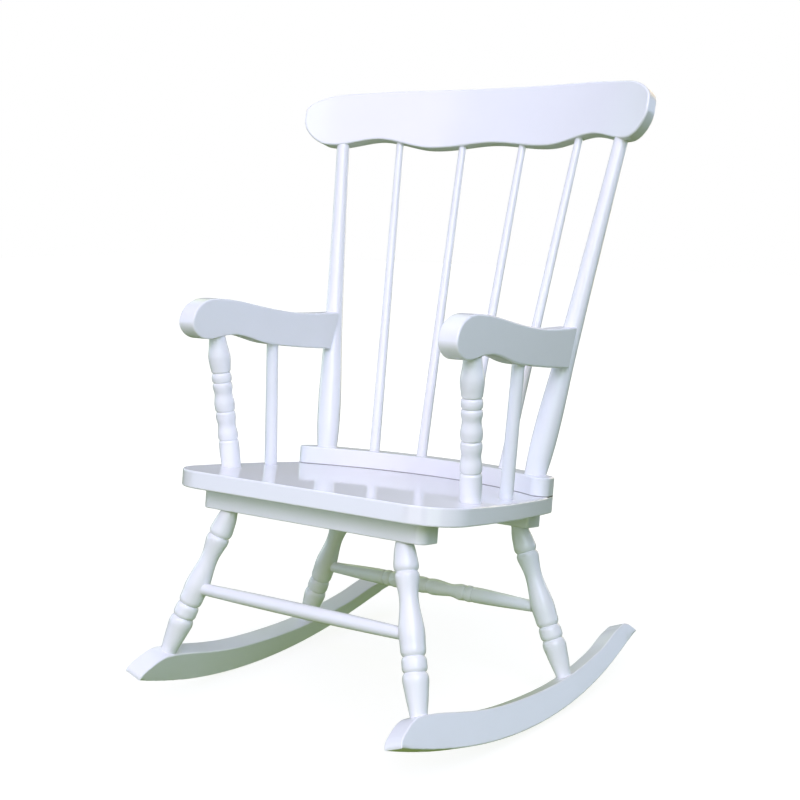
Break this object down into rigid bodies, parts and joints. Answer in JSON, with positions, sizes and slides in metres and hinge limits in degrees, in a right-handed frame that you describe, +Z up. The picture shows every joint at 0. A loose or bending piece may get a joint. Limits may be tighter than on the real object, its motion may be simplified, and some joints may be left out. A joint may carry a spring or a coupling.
{
  "type": "spindle-back rocking chair",
  "caption": "White-painted child's rocking chair with a scrolled crest rail, turned back spindles, shaped arms, a flat seat and curved rockers.",
  "frame": {"origin": "on the floor under the middle of the chair's bounding box, with the chair at rest", "axes": "+X to the sitter's left, -Y the way the sitter faces, +Z up"},
  "size_m": [0.491, 0.5094, 0.7275],
  "materials": {
    "painted_wood": "gloss",
    "screw_steel": "satin"
  },
  "bodies": {
    "root": {"seat_board": "painted_wood", "back_rail": "painted_wood", "crest_rail": "painted_wood", "front_cleat": "painted_wood", "rear_cleat": "painted_wood", "front_stretcher": "painted_wood", "rear_stretcher": "painted_wood", "back_spindle_1": "painted_wood", "back_spindle_2": "painted_wood", "back_spindle_3": "painted_wood", "back_spindle_4": "painted_wood", "back_post_left": "painted_wood", "back_post_right": "painted_wood", "arm_left": "painted_wood", "arm_right": "painted_wood", "arm_post_left": "painted_wood", "arm_post_right": "painted_wood", "arm_spindle_left": "painted_wood", "arm_spindle_right": "painted_wood", "leg_front_left": "painted_wood", "leg_front_right": "painted_wood", "leg_rear_left": "painted_wood", "leg_rear_right": "painted_wood", "rocker_left": "painted_wood", "rocker_right": "painted_wood", "rail_screws": "screw_steel", "cleat_screws": "screw_steel", "arm_screws": "screw_steel", "rocker_screws": "screw_steel"}
  },
  "joints": []
}
